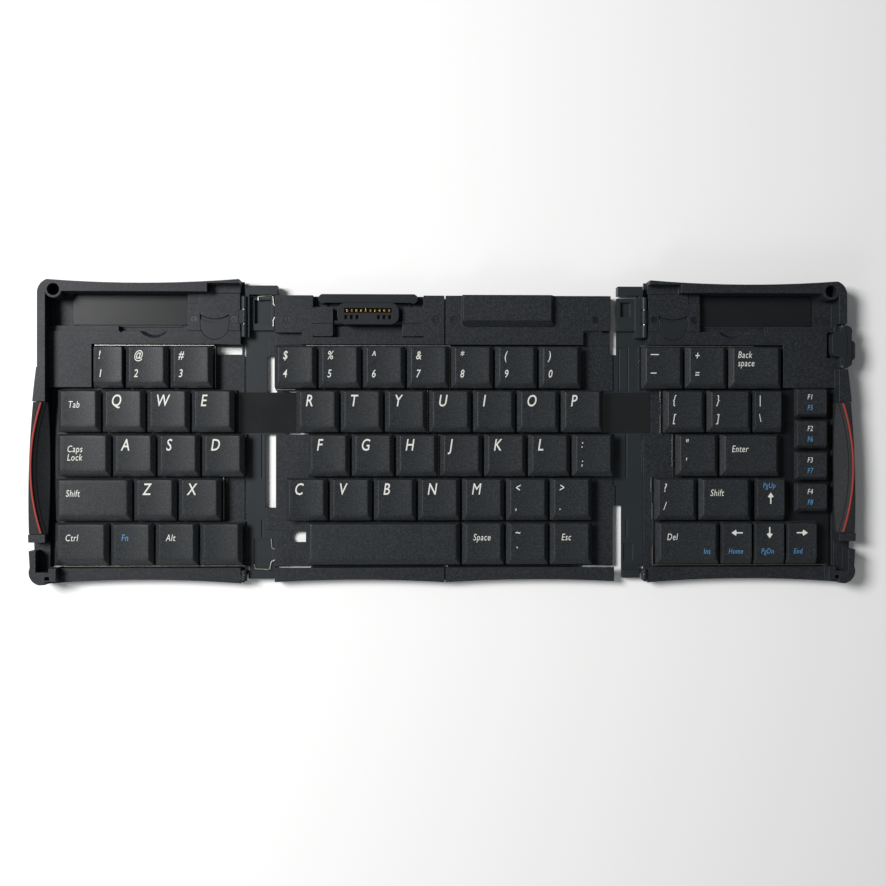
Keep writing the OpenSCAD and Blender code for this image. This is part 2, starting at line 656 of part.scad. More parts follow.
module mid_left_frame() color([0.17, 0.18, 0.2]) on_side(-1) {
    difference() {
        union() {
            centre_shell();
            // Tabs that lap over the hinge slide
            slab(frame_x - 1, 33.2, margin_z, 76.2, 40.6, margin_z + 0.5);
            slab(frame_x - 1, -42.2, margin_z, 77.6, -33.2, margin_z + 0.5);
        }
        // Connector bay, open to the rear and above
        slab(9.3, 40.9, floor_top, 57, block_y + 1, deck_z + 1);
        // Recess at the outer front corner of the rear block
        slab(61.7, deck_y - 1, margin_z + 1, frame_x + 1, 43, deck_z + 1);
        // Bullet hole through the margin: half round at its outer end
        translate([64.9, -45.4, z0 - 1]) cylinder(h = 9, r = 2.3);
        slab(60.4, -47.7, z0 - 1, 64.9, -43.1, 9);
        for (x = [3.9, 67.8]) screw_bore(x);
        // Slots for the rails of the support bracket
        for (x = [14.5, 50.8]) slab(x, 50, floor_top - 0.3, x + 1.6, 61, floor_top + e);
    }
    // Blocks at both ends of the bay, with a shallow pocket, a pin bore and a rail tunnel
    for (x = [[9.2, 18.5, 14.5], [48.4, 57.1, 50.8]]) difference() {
        round_slab(x[0], 41.4, floor_top - e, x[1], 54, deck_z, 1);
        slab(x[0] - 1, 46.6, deck_z - 0.5, x[1] + 1, 47, deck_z + 1);
        bar_x(shell_pins[0], tilt_y, tilt_z, shell_pins[1], tilt_r + run);
        slab(x[2], 50, floor_top - 0.3, x[2] + 1.6, 55, floor_top + 0.7);
    }
    // Sill in front of the connector
    slab(18.4, 40.8, floor_top - e, 48.5, 45.7, floor_top + 0.6);
    mid_knuckle(38.2, 44.6);
    mid_knuckle(51.2, 58);
    mid_knuckle(-61.6, -58.9);
}

// A screw hole down from the deck
module screw_bore(x) {
    translate([x, screw_y, tunnel_z + 0.05]) cylinder(h = 9, r = 0.85);
    translate([x, screw_y, deck_z - 0.5]) cylinder(h = 9, r = screw_r + 0.15);
}

// Smooth raised housing: sloped in front and at its outer side, round corners in front
module housing() intersection() {
    round_slab(7.1, 45.7, deck_z - 1, 47.3, 60, 20, 2.2);
    translate([0, 59, 0]) rotate([90, 0, 0]) linear_extrude(20)
        polygon([[7.1, deck_z - 1], [47.3, deck_z - 1], [47.3, deck_z + 0.6],
                 [45.6, 9.6], [7.9, 9.6], [7.1, 8.6]]);
    rotate([90, 0, 90]) linear_extrude(60)
        polygon([[45.7, deck_z - 1], [59, deck_z - 1], [59, 9.3],
                 [58.6, 9.6], [48.1, 9.6], [45.7, deck_z + 0.6]]);
}

module mid_right_frame() color([0.17, 0.18, 0.2]) {
    difference() {
        union() {
            centre_shell();
            housing();
            slab(frame_x - 3, 25, margin_z, 73.4, 33.6, margin_z + 0.5);
            slab(frame_x - 1, -31.7, margin_z, 74.3, -23.3, margin_z + 0.5);
        }
        slab(60, deck_y - 1, margin_z + 1, frame_x + 1, 44, deck_z + 1);
        slab(71.9, deck_y - 4, z0 - 1, frame_x + 1, rear, deck_z + 1);
        for (x = [3.9, 65.4]) screw_bore(x);
    }
    mid_knuckle(44.9, 50.9);
    mid_knuckle(-64.4, -61.9);
}

module centre_hinge_pins() color([0.75, 0.75, 0.73]) {
    bar_y(0, 38.4, mid_z, 57.8, mid_pin_r);
    bar_y(0, -64.2, mid_z, -59, mid_pin_r);
}

module mid_left_screws() color([0.62, 0.62, 0.6])
    for (x = [-3.9, -67.8]) screw(x, screw_y, deck_z - 0.5, 1.3);
module mid_right_screws() color([0.62, 0.62, 0.6])
    for (x = [3.9, 65.4]) screw(x, screw_y, deck_z - 0.5, 1.3);

// Connector: a rounded shell that tips up on a bar along its front edge

module connector_shell() color([0.14, 0.15, 0.17]) difference() {
    union() {
        round_slab(shell_x[0], shell_y[0], shell_z[0] + 1.6, shell_x[1], shell_y[1], shell_z[1], 3.5);
        round_slab(shell_x[0] + 1.5, shell_y[0] + 2.6, shell_z[0], shell_x[1] - 1.5,
            shell_y[1] - 1, shell_z[0] + 2, 2);
        bar_x(0.3 - shell_pins[1], tilt_y, tilt_z, -shell_pins[0] - 0.3, tilt_r);
    }
    // Contact slot and the two groups of key slots
    slab(contact_x - 10.2, contact_y - 1, shell_z[1] - 3, contact_x + 10.2, contact_y + 1, 20);
    for (group = [-1, 1], n = [-1 : 1])
        slab(contact_x + group * 7 + n * 2.4 - 0.7, 48.4, shell_z[1] - 1.4,
            contact_x + group * 7 + n * 2.4 + 0.7, 50.2, 20);
}

module connector_contacts() color([0.85, 0.7, 0.35])
    for (n = [0 : contacts - 1])
        translate([contact_x + (n - (contacts - 1) / 2) * contact_pitch - 0.35,
            contact_y - 0.55, shell_z[1] - 3])
            cube([0.7, 1.1, 2.6]);

// Support bracket: slides out of the rear on two rails
module support_bracket() color([0.1, 0.1, 0.11]) {
    x0 = -54.6;
    x1 = -11.9;
    round_slab(x0, 55.9, floor_top + 0.5, x1, 59.6, deck_z, 1.8);
    for (x = [x0 + 1.9, x1 - 1.9]) translate([x, 57.6, floor_top + 0.2])
        cylinder(h = deck_z - floor_top - 0.2, r = 2.0);
    for (x = [-52.2, -15.9]) slab(x, 50.2, floor_top - 0.2, x + 1.2, 57, floor_top + 0.5 + e);
}

left_tray();
left_cover();
left_grip();
left_feet();
left_screws();
left_release_button();
left_key_plate();
left_dome_sheet();
left_scissors();
left_hinge_slide();
left_hinge_pins();
left_ribbon();
mid_left_frame();  // centre_left_frame
mid_left_key_plate();  // centre_left_key_plate
mid_left_dome_sheet();  // centre_left_dome_sheet
mid_left_scissors();  // centre_left_scissors
mid_left_screws();  // centre_left_screws
connector_shell();
connector_contacts();
support_bracket();
centre_hinge_pins();
mid_right_frame();  // centre_right_frame
mid_right_key_plate();  // centre_right_key_plate
mid_right_dome_sheet();  // centre_right_dome_sheet
mid_right_scissors();  // centre_right_scissors
mid_right_screws();  // centre_right_screws
right_tray();
right_cover();
right_grip();
right_feet();
right_screws();
right_release_button();
latch();
right_key_plate();
right_dome_sheet();
right_scissors();
right_hinge_slide();
right_hinge_pins();
right_ribbon();
left_row(0);  // left_keys_1
left_row(1);  // left_keys_2
left_row(2);  // left_keys_3
left_row(3);  // left_keys_4
left_row(4);  // left_keys_5
mid_left_row(0);  // centre_left_keys_1
mid_left_row(1);  // centre_left_keys_2
mid_left_row(2);  // centre_left_keys_3
mid_left_row(3);  // centre_left_keys_4
mid_left_row(4);  // centre_left_keys_5
mid_right_row(0);  // centre_right_keys_1
mid_right_row(1);  // centre_right_keys_2
mid_right_row(2);  // centre_right_keys_3
mid_right_row(3);  // centre_right_keys_4
mid_right_row(4);  // centre_right_keys_5
right_row(0);  // right_keys_1
right_row(1);  // right_keys_2
right_row(2);  // right_keys_3
right_row(3);  // right_keys_4
right_row(4);  // right_keys_5
right_app_keys();
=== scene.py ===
# %% [markdown]
# # A pocket keyboard that folds in three places
#
# The real object is a full-size keyboard in four hinged sections. Two end trays carry the rim,
# the grips and the release buttons. Two frames in the middle carry most of the keys and the
# connector for a handheld device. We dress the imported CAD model: its frames, trays and hinges
# stay as they are and get good materials, and the keycaps, grips, ribbons and small bright
# edges are new surfaces, because those are the shapes that a few flat cuts can't give.

import math

import bpy
import numpy as np
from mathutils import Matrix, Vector


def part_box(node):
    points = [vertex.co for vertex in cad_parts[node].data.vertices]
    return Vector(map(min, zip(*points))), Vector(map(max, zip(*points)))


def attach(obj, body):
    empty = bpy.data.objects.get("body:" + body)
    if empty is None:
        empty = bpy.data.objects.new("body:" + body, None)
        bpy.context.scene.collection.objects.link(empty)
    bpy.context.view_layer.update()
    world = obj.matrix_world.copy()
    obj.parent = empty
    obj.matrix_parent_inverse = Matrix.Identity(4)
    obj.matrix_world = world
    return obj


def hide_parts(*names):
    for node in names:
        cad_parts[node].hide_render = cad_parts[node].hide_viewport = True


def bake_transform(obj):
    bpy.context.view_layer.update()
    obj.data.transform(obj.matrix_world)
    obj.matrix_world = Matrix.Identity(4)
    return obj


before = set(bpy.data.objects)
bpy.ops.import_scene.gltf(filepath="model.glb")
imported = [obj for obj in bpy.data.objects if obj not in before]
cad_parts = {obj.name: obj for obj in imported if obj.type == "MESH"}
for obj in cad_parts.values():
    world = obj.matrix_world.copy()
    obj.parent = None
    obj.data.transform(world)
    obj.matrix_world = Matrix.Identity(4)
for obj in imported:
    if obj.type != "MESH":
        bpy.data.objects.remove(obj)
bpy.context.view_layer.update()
mm = 0.001

# %% [markdown]
# ## Camera, floor and light
#
# The photograph looks straight down. Its perspective is mild: the sides of the outer keys show
# on the side that faces the middle. A camera about 0.45 m up gives the same. It stands a little
# to the left, because the keys on the left come out slightly larger.

# %% Camera
VIEW_DISTANCE = 0.45
VIEW_LEAN = math.radians(1.2)
VIEW_WIDTH = 0.3826
VIEW_CENTRE = Vector((-0.0009, -0.0047, 0.007))
SENSOR = 36.0

camera_data = bpy.data.cameras.new("camera")
camera_data.sensor_width = SENSOR
camera_data.lens = SENSOR * VIEW_DISTANCE / VIEW_WIDTH
camera = bpy.data.objects.new("camera", camera_data)
bpy.context.scene.collection.objects.link(camera)
camera.location = VIEW_CENTRE + VIEW_DISTANCE * Vector((-math.sin(VIEW_LEAN), 0, math.cos(VIEW_LEAN)))
camera.rotation_euler = (0, -VIEW_LEAN, 0)
bpy.context.scene.camera = camera
bpy.context.scene.view_settings.view_transform = "Standard"
print("lens in mm:", round(camera_data.lens, 1))

# %% [markdown]
# Black plastic shows its form only through reflections. One broad lamp stands high on the left,
# so that the left bevels of the keys catch it and the right bevels stay dark. A weak one at the
# front keeps the front bevels readable, and a dim plain sky fills the tops.

# %% Lamps and world
def lamp(name, place, size, power, target=(0, 0, 0)):
    """A square area lamp at place that faces target."""
    data = bpy.data.lights.new(name, "AREA")
    data.size = size
    data.energy = power
    thing = bpy.data.objects.new(name, data)
    bpy.context.scene.collection.objects.link(thing)
    thing.location = place
    thing.rotation_euler = (Vector(target) - Vector(place)).to_track_quat("-Z", "Y").to_euler()


lamp("key_lamp", (-0.66, 0.24, 0.8), 0.36, 12.5)
lamp("front_lamp", (-0.42, -0.7, 0.4), 0.4, 1.6)

world = bpy.data.worlds.new("studio")
bpy.context.scene.world = world
world.use_nodes = True
sky = world.node_tree.nodes["Background"]
sky.inputs["Color"].default_value = (0.95, 0.97, 1.0, 1)
sky.inputs["Strength"].default_value = 0.16

# %% [markdown]
# ## Surfaces from numbers
#
# Almost every new piece here is a closed skin over a stack of rings. A ring is a closed loop of
# points, such as the outline of a keycap at one height or the section of a wire at one place.
# The function joins each ring to the next with four-sided faces and closes the first and last
# ring with a fan, then turns the skin inside out if its volume comes out negative.

# %% The ring skin
def ring_skin(rings):
    """Closed skin over rings[i, j]: face (i, j) joins points j and j+1 of rings i and i+1."""
    rings = np.asarray(rings, float)
    n, m, _ = rings.shape
    points = np.vstack([rings.reshape(-1, 3), rings[0].mean(0), rings[-1].mean(0)])
    i, j = np.meshgrid(np.arange(n - 1), np.arange(m), indexing="ij")
    k = (j + 1) % m
    quads = np.stack([i * m + j, i * m + k, (i + 1) * m + k, (i + 1) * m + j], -1).reshape(-1, 4)
    a, b = np.arange(m), (np.arange(m) + 1) % m
    first = np.stack([b, a, np.full(m, n * m)], -1)
    last = np.stack([(n - 1) * m + a, (n - 1) * m + b, np.full(m, n * m + 1)], -1)
    corners = np.vstack([quads[:, [0, 1, 2]], quads[:, [0, 2, 3]], first, last])
    p, q, r = (points[corners[:, c]] - points[0] for c in range(3))
    if np.einsum("ij,ij->i", p, np.cross(q, r)).sum() < 0:
        quads, first, last = quads[:, ::-1], first[:, ::-1], last[:, ::-1]
    return points, quads.tolist() + first.tolist() + last.tolist()


def make_piece(name, skins, material, body, sharp=35.0, even=True):
    """One object from several skins, in place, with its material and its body."""
    points, faces, start = [], [], 0
    for skin_points, skin_faces in skins:
        points.append(np.asarray(skin_points))
        faces += [[start + c for c in face] for face in skin_faces]
        start += len(skin_points)
    mesh = bpy.data.meshes.new(name)
    mesh.from_pydata(np.vstack(points).tolist(), [], faces)
    mesh.shade_smooth()
    mesh.set_sharp_from_angle(angle=math.radians(sharp))
    mesh.materials.append(material)
    thing = bpy.data.objects.new(name, mesh)
    bpy.context.scene.collection.objects.link(thing)
    if even:
        thing.modifiers.new("even_normals", "WEIGHTED_NORMAL").keep_sharp = True
    if body:
        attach(thing, body)
    return thing


# %% [markdown]
# The second tool carries a small profile along a path: bright plate edges, wires, the coloured
# line on a grip and the ribs are all of this kind. At a corner the profile is set on the line
# that halves the corner, and widened so that both legs keep their width, as a mitre joint does.

# %% Profile along a path
def carry(path, profile, closed=False):
    """Skin of profile[j] = (across, up) at each path point p[i].

    Point (i, j) is p[i] + side[i] * across[j] + (0, 0, 1) * up[j], where side[i] halves the
    corner at p[i] and is stretched by one over the cosine of half the turn.
    """
    path, profile = np.asarray(path, float), np.asarray(profile, float)
    step = np.diff(path, axis=0)
    step = step / np.linalg.norm(step[:, :2], axis=1)[:, None]
    into, out = np.vstack([step[:1], step]), np.vstack([step, step[-1:]])
    left = np.stack([-(into + out)[:, 1], (into + out)[:, 0], np.zeros(len(path))], -1)
    left /= np.linalg.norm(left, axis=1)[:, None]
    stretch = 1 / np.maximum(0.3, left[:, 0] * -into[:, 1] + left[:, 1] * into[:, 0])
    side = left * stretch[:, None]
    rings = path[:, None] + side[:, None] * profile[None, :, :1]
    rings[:, :, 2] += profile[None, :, 1]
    return ring_skin(rings)


def round_profile(width, height, sides=10):
    """Ellipse of that width and height, standing on zero."""
    t = np.linspace(0, 2 * np.pi, sides, endpoint=False)
    return np.stack([width / 2 * np.cos(t), height / 2 + height / 2 * np.sin(t)], -1)


def rounded_outline(half_x, half_y, radius, corner=7, edge=8):
    """Points round a rectangle with round corners, the same number at every size.

    Each corner is a quarter circle of corner points; each side has edge points between them.
    """
    radius = min(radius, half_x * 0.98, half_y * 0.98)
    turn = np.linspace(0, np.pi / 2, corner)
    arcs = []
    for k, (sx, sy) in enumerate([(1, 1), (-1, 1), (-1, -1), (1, -1)]):
        centre = np.array([sx * (half_x - radius), sy * (half_y - radius)])
        angle = turn + k * np.pi / 2
        arcs.append(centre + radius * np.stack([np.cos(angle), np.sin(angle)], -1))
    share = np.linspace(0, 1, edge + 2)[1:-1, None]
    points = []
    for k, arc in enumerate(arcs):
        after = arcs[(k + 1) % 4][0]
        points += [arc, arc[-1] + (after - arc[-1]) * share]
    return np.vstack(points)


# %% [markdown]
# ## Finishes
#
# The whole keyboard is black, and what tells its pieces apart is the finish. Deck plastic has a
# coarse spark-eroded grain, keycaps a fine one, the hinge strips are smoother and a little
# greener, rubber is dull. All of them turn lighter at their edges. Part of this is wear where hands
# and a bag rub them, and part is a painted highlight that stands in for edges catching the light.
# That edge colour is the same effect everywhere, so it is one node group: a Bevel node finds the
# edges, noise breaks them up, and the group hands back a colour, a roughness, a height and a
# softened normal.

# %% The group for moulded skins
def link(tree, source, target):
    tree.links.new(source, target)


def add_node(tree, kind, **settings):
    """A node of that kind, with its attributes set."""
    node = tree.nodes.new(kind)
    for key, value in settings.items():
        setattr(node, key, value)
    return node


def math_node(tree, operation, a, b=None, clamp=False):
    node = add_node(tree, "ShaderNodeMath", operation=operation, use_clamp=clamp)
    for socket, value in zip(node.inputs, (a, b)):
        if hasattr(value, "is_linked"):
            link(tree, value, socket)
        elif value is not None:
            socket.default_value = value
    return node.outputs[0]


def make_skin_group():
    """Grain, edge wear with a painted edge highlight, and soft edges. Colour runs from Base to Speck with
    the grain, to the wear-and-highlight colour at edges.
    """
    tree = bpy.data.node_groups.new("moulded_skin", "ShaderNodeTree")
    face = tree.interface
    for name, kind, value in [
        ("Base", "NodeSocketColor", (0.02, 0.022, 0.025, 1)),
        ("Speck", "NodeSocketColor", (0.06, 0.065, 0.07, 1)),
        ("Wear and Highlight", "NodeSocketColor", (0.12, 0.12, 0.12, 1)),
        ("Grain Scale", "NodeSocketFloat", 1500.0),
        ("Speck Amount", "NodeSocketFloat", 0.5),
        ("Wear and Highlight Amount", "NodeSocketFloat", 0.5),
        ("Roughness", "NodeSocketFloat", 0.5),
        ("Edge", "NodeSocketFloat", 0.0003),
    ]:
        socket = face.new_socket(name, in_out="INPUT", socket_type=kind)
        socket.default_value = value
    for name, kind in [
        ("Colour", "NodeSocketColor"),
        ("Roughness", "NodeSocketFloat"),
        ("Height", "NodeSocketFloat"),
        ("Normal", "NodeSocketVector"),
    ]:
        face.new_socket(name, in_out="OUTPUT", socket_type=kind)
    given = tree.nodes.new("NodeGroupInput")
    handed = tree.nodes.new("NodeGroupOutput")
    place = tree.nodes.new("ShaderNodeTexCoord")

    grain = add_node(tree, "ShaderNodeTexNoise")
    link(tree, place.outputs["Object"], grain.inputs["Vector"])
    link(tree, given.outputs["Grain Scale"], grain.inputs["Scale"])
    grain.inputs["Detail"].default_value = 3.0
    grain.inputs["Roughness"].default_value = 0.65
    cloud = add_node(tree, "ShaderNodeTexNoise")
    link(tree, place.outputs["Object"], cloud.inputs["Vector"])
    cloud.inputs["Scale"].default_value = 45.0
    cloud.inputs["Detail"].default_value = 5.0

    bevel = add_node(tree, "ShaderNodeBevel", samples=6)
    link(tree, given.outputs["Edge"], bevel.inputs["Radius"])
    shape = tree.nodes.new("ShaderNodeNewGeometry")
    straight = add_node(tree, "ShaderNodeVectorMath", operation="DOT_PRODUCT")
    link(tree, bevel.outputs["Normal"], straight.inputs[0])
    link(tree, shape.outputs["Normal"], straight.inputs[1])
    bend = math_node(tree, "SUBTRACT", 1.0, straight.outputs["Value"], clamp=True)
    # Edge mask: every edge turns lighter, partly as real wear and partly as a painted highlight
    wear_and_highlight_mask = math_node(tree, "MULTIPLY", bend, 5.0, clamp=True)
    wear_and_highlight_mask = math_node(tree, "MULTIPLY", wear_and_highlight_mask, cloud.outputs["Fac"])
    wear_and_highlight_mask = math_node(tree, "MULTIPLY", wear_and_highlight_mask, given.outputs["Wear and Highlight Amount"], clamp=True)

    sparks = math_node(tree, "SUBTRACT", grain.outputs["Fac"], 0.42, clamp=True)
    sparks = math_node(tree, "MULTIPLY", sparks, 3.2, clamp=True)
    sparks = math_node(tree, "MULTIPLY", sparks, given.outputs["Speck Amount"], clamp=True)
    tint = add_node(tree, "ShaderNodeMix", data_type="RGBA")
    link(tree, sparks, tint.inputs["Factor"])
    link(tree, given.outputs["Base"], tint.inputs["A"])
    link(tree, given.outputs["Speck"], tint.inputs["B"])
    # Mix towards the edge colour, which is a painted highlight as well as wear
    wear_and_highlight_mix = add_node(tree, "ShaderNodeMix", data_type="RGBA")
    link(tree, wear_and_highlight_mask, wear_and_highlight_mix.inputs["Factor"])
    link(tree, tint.outputs["Result"], wear_and_highlight_mix.inputs["A"])
    link(tree, given.outputs["Wear and Highlight"], wear_and_highlight_mix.inputs["B"])
    link(tree, wear_and_highlight_mix.outputs["Result"], handed.inputs["Colour"])

    patch = math_node(tree, "SUBTRACT", cloud.outputs["Fac"], 0.5)
    patch = math_node(tree, "MULTIPLY", patch, 0.22)
    rough = math_node(tree, "ADD", given.outputs["Roughness"], patch)
    gloss = math_node(tree, "MULTIPLY", wear_and_highlight_mask, -0.15)
    link(tree, math_node(tree, "ADD", rough, gloss, clamp=True), handed.inputs["Roughness"])
    link(tree, grain.outputs["Fac"], handed.inputs["Height"])
    link(tree, bevel.outputs["Normal"], handed.inputs["Normal"])
    return tree


skin_group = make_skin_group()
print("group outputs:", [s.name for s in skin_group.interface.items_tree if s.in_out == "OUTPUT"])


# %% [markdown]
# Each finish is then one call. The colours are written as the eye sees them, from 0 to 255, and
# turned into Blender's linear values.

# %% Finishes of the plastics and rubbers
def seen(red, green, blue):
    """Linear colour for a colour given as the eye sees it, 0 to 255."""
    parts = np.array([red, green, blue]) / 255
    linear = np.where(parts <= 0.04045, parts / 12.92, ((parts + 0.055) / 1.055) ** 2.4)
    return (*linear.tolist(), 1.0)


def moulded(name, base, speck, wear_and_highlight, grain, specks, wear_and_highlight_amount, rough, bump, edge=0.3, specular=0.22, coat=0.0):
    """A moulded or painted skin from the group; grain is in grains per metre, edge in mm."""
    material = bpy.data.materials.new(name)
    material.use_nodes = True
    tree = material.node_tree
    shader = tree.nodes["Principled BSDF"]
    skin = tree.nodes.new("ShaderNodeGroup")
    skin.node_tree = skin_group
    values = {"Base": base, "Speck": speck, "Wear and Highlight": wear_and_highlight, "Grain Scale": grain, "Wear and Highlight Amount": wear_and_highlight_amount,
              "Speck Amount": specks, "Roughness": rough, "Edge": edge * mm}
    for key, value in values.items():
        skin.inputs[key].default_value = value
    relief = tree.nodes.new("ShaderNodeBump")
    relief.inputs["Strength"].default_value = bump
    relief.inputs["Distance"].default_value = 0.1 * mm
    link(tree, skin.outputs["Height"], relief.inputs["Height"])
    link(tree, skin.outputs["Normal"], relief.inputs["Normal"])
    link(tree, skin.outputs["Colour"], shader.inputs["Base Color"])
    link(tree, skin.outputs["Roughness"], shader.inputs["Roughness"])
    link(tree, relief.outputs["Normal"], shader.inputs["Normal"])
    shader.inputs["Specular IOR Level"].default_value = specular
    shader.inputs["Coat Weight"].default_value = coat
    return material


# The third colour of each finish is its edge colour: wear and a painted highlight
deck_plastic = moulded("deck_plastic", seen(28, 31, 35), seen(64, 67, 72), seen(96, 99, 102),
                       1500, 0.6, 0.6, 0.5, 0.6)
strip_plastic = moulded("strip_plastic", seen(36, 41, 44), seen(52, 58, 61), seen(95, 98, 100),
                        2200, 0.4, 0.5, 0.46, 0.3)
dock_plastic = moulded("dock_plastic", seen(31, 34, 38), seen(48, 51, 55), seen(88, 92, 96),
                       2600, 0.3, 0.6, 0.42, 0.2, edge=0.25)
button_plastic = moulded("button_plastic", seen(34, 37, 41), seen(52, 55, 59), seen(84, 88, 92),
                         2400, 0.3, 0.5, 0.45, 0.2)
cap_plastic = moulded("cap_plastic", seen(32, 35, 38), seen(68, 71, 73), seen(104, 108, 114),
                      1700, 0.62, 0.5, 0.45, 0.45, edge=0.22)
label_plastic = moulded("label_plastic", seen(26, 27, 29), seen(34, 35, 37), seen(60, 62, 64),
                        2600, 0.25, 0.3, 0.38, 0.1)
foot_rubber = moulded("foot_rubber", seen(28, 28, 29), seen(44, 44, 45), seen(60, 60, 60),
                      1800, 0.4, 0.2, 0.85, 0.3)
grip_rubber = moulded("grip_rubber", seen(34, 35, 38), seen(58, 59, 62), seen(72, 73, 75),
                      1300, 0.5, 0.3, 0.72, 0.5)
line_rubber = moulded("line_rubber", seen(150, 55, 46), seen(172, 84, 72), seen(186, 108, 96),
                      2000, 0.4, 0.3, 0.6, 0.2, edge=0.1)
film = moulded("film", seen(20, 21, 22), seen(30, 31, 32), seen(52, 54, 56),
               900, 0.3, 0.3, 0.2, 0.03, edge=0.1, specular=0.5, coat=0.6)
dome_rubber = moulded("dome_rubber", seen(40, 42, 45), seen(52, 54, 57), seen(60, 62, 66),
                      1600, 0.3, 0.2, 0.6, 0.1)
lever_plastic = moulded("lever_plastic", seen(206, 206, 198), seen(222, 222, 214), seen(230, 230, 225),
                        1600, 0.3, 0.1, 0.5, 0.1, edge=0.1)
white_ink = moulded("white_ink", seen(222, 222, 214), seen(198, 198, 192), seen(205, 205, 200),
                    3500, 0.35, 0.0, 0.55, 0.1, edge=0.02)
blue_ink = moulded("blue_ink", seen(86, 142, 190), seen(72, 122, 168), seen(80, 130, 175),
                   3500, 0.35, 0.0, 0.55, 0.1, edge=0.02)
print("finishes:", len(bpy.data.materials))

# %% [markdown]
# The metals are brushed or plated steel and gold. The key plates are painted black on both
# faces, and bare where they were cut, so that their material asks which way a face looks: the
# flat faces take the paint, the cut edges stay bright.

# %% Finishes of the metals
def metal(name, colour, dark, rough, streaks=(1.0, 1.0, 1.0), edge=0.1):
    """Bare metal: its colour darkens in fine streaks, and roughness follows them."""
    material = bpy.data.materials.new(name)
    material.use_nodes = True
    tree = material.node_tree
    shader = tree.nodes["Principled BSDF"]
    shader.inputs["Metallic"].default_value = 1.0
    place = tree.nodes.new("ShaderNodeTexCoord")
    mapping = tree.nodes.new("ShaderNodeMapping")
    mapping.inputs["Scale"].default_value = streaks
    link(tree, place.outputs["Object"], mapping.inputs["Vector"])
    noise = tree.nodes.new("ShaderNodeTexNoise")
    noise.inputs["Scale"].default_value = 1100.0
    noise.inputs["Detail"].default_value = 3.0
    link(tree, mapping.outputs["Vector"], noise.inputs["Vector"])
    tint = add_node(tree, "ShaderNodeMix", data_type="RGBA")
    tint.inputs["A"].default_value = dark
    tint.inputs["B"].default_value = colour
    link(tree, noise.outputs["Fac"], tint.inputs["Factor"])
    link(tree, tint.outputs["Result"], shader.inputs["Base Color"])
    spread = math_node(tree, "MULTIPLY", noise.outputs["Fac"], 0.2)
    link(tree, math_node(tree, "ADD", spread, rough - 0.1), shader.inputs["Roughness"])
    soft = add_node(tree, "ShaderNodeBevel", samples=4)
    soft.inputs["Radius"].default_value = edge * mm
    relief = tree.nodes.new("ShaderNodeBump")
    relief.inputs["Strength"].default_value = 0.1
    relief.inputs["Distance"].default_value = 0.05 * mm
    link(tree, noise.outputs["Fac"], relief.inputs["Height"])
    link(tree, soft.outputs["Normal"], relief.inputs["Normal"])
    link(tree, relief.outputs["Normal"], shader.inputs["Normal"])
    return material


def painted_sheet(name):
    """Steel sheet painted black, bare on faces that look sideways."""
    # The third colour is the edge colour: wear and a painted highlight
    material = moulded(name, seen(24, 26, 29), seen(36, 38, 41), seen(120, 120, 118),
                       1800, 0.4, 0.4, 0.4, 0.15, edge=0.1)
    tree = material.node_tree
    shader = tree.nodes["Principled BSDF"]
    shape = tree.nodes.new("ShaderNodeNewGeometry")
    parts = tree.nodes.new("ShaderNodeSeparateXYZ")
    link(tree, shape.outputs["True Normal"], parts.inputs["Vector"])
    up = math_node(tree, "ABSOLUTE", parts.outputs["Z"])
    cut = math_node(tree, "LESS_THAN", up, 0.5)
    tint = add_node(tree, "ShaderNodeMix", data_type="RGBA")
    paint = shader.inputs["Base Color"].links[0].from_socket
    link(tree, cut, tint.inputs["Factor"])
    link(tree, paint, tint.inputs["A"])
    tint.inputs["B"].default_value = seen(205, 204, 196)
    link(tree, tint.outputs["Result"], shader.inputs["Base Color"])
    link(tree, cut, shader.inputs["Metallic"])
    return material


bright_steel = metal("bright_steel", seen(190, 190, 180), seen(120, 120, 112), 0.4)
pin_steel = metal("pin_steel", seen(200, 200, 196), seen(140, 140, 136), 0.3, (3.0, 0.15, 3.0))
black_steel = metal("black_steel", seen(74, 76, 80), seen(34, 35, 38), 0.45)
gold = metal("gold", seen(232, 196, 104), seen(176, 138, 62), 0.28)
plate_steel = painted_sheet("plate_steel")
print("metals:", bright_steel.name, pin_steel.name, black_steel.name, gold.name, plate_steel.name)

# %% [markdown]
# Nodes of the CAD model whose shape is right keep their mesh and take one of these finishes.

# %% Dress the CAD nodes
NODE_FINISH = [
    (("tray", "cover", "centre_left_frame", "centre_right_frame"), deck_plastic),
    (("hinge_slide",), strip_plastic),
    (("connector_shell", "support_bracket"), dock_plastic),
    (("release_button", "latch"), button_plastic),
    (("_keys",), cap_plastic),
    (("key_plate",), plate_steel),
    (("feet",), foot_rubber),
    (("grip",), grip_rubber),
    (("ribbon",), film),
    (("screws",), black_steel),
    (("hinge_pins",), pin_steel),
    (("contacts",), gold),
    (("dome_sheet",), dome_rubber),
    (("scissors",), lever_plastic),
]
for name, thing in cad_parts.items():
    finish = next(m for words, m in NODE_FINISH if any(word in name for word in words))
    thing.data.materials.clear()
    thing.data.materials.append(finish)
print("dressed nodes:", len(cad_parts))

# %% [markdown]
# ## Keycaps
#
# A keycap is a thin shell. From its foot it rises straight, then four flat bevels lean in to
# the top, which is hollowed along one axis so that a fingertip finds its middle. Where the
# hollow meets the front bevel the edge comes out as a shallow curve, and that curve is what
# makes the keys look real from above. So the rim isn't drawn: it is worked out, as the height
# where each bevel reaches the hollow.

# %% Measures of the caps
PITCH = 19.0 * mm
CAP_GAP = 0.8 * mm
CAP_HEIGHT = 2.5 * mm
CAP_WALL = 0.55 * mm
NARROW = 0.8
WIDE = 1.6
HOLLOW = 0.38 * mm


def hollow_height(x, half, depth):
    """Height of the top at x: the rim's height less depth times one minus (x / half) squared."""
    return CAP_HEIGHT - depth * np.clip(1 - (x / half) ** 2, 0, 1)


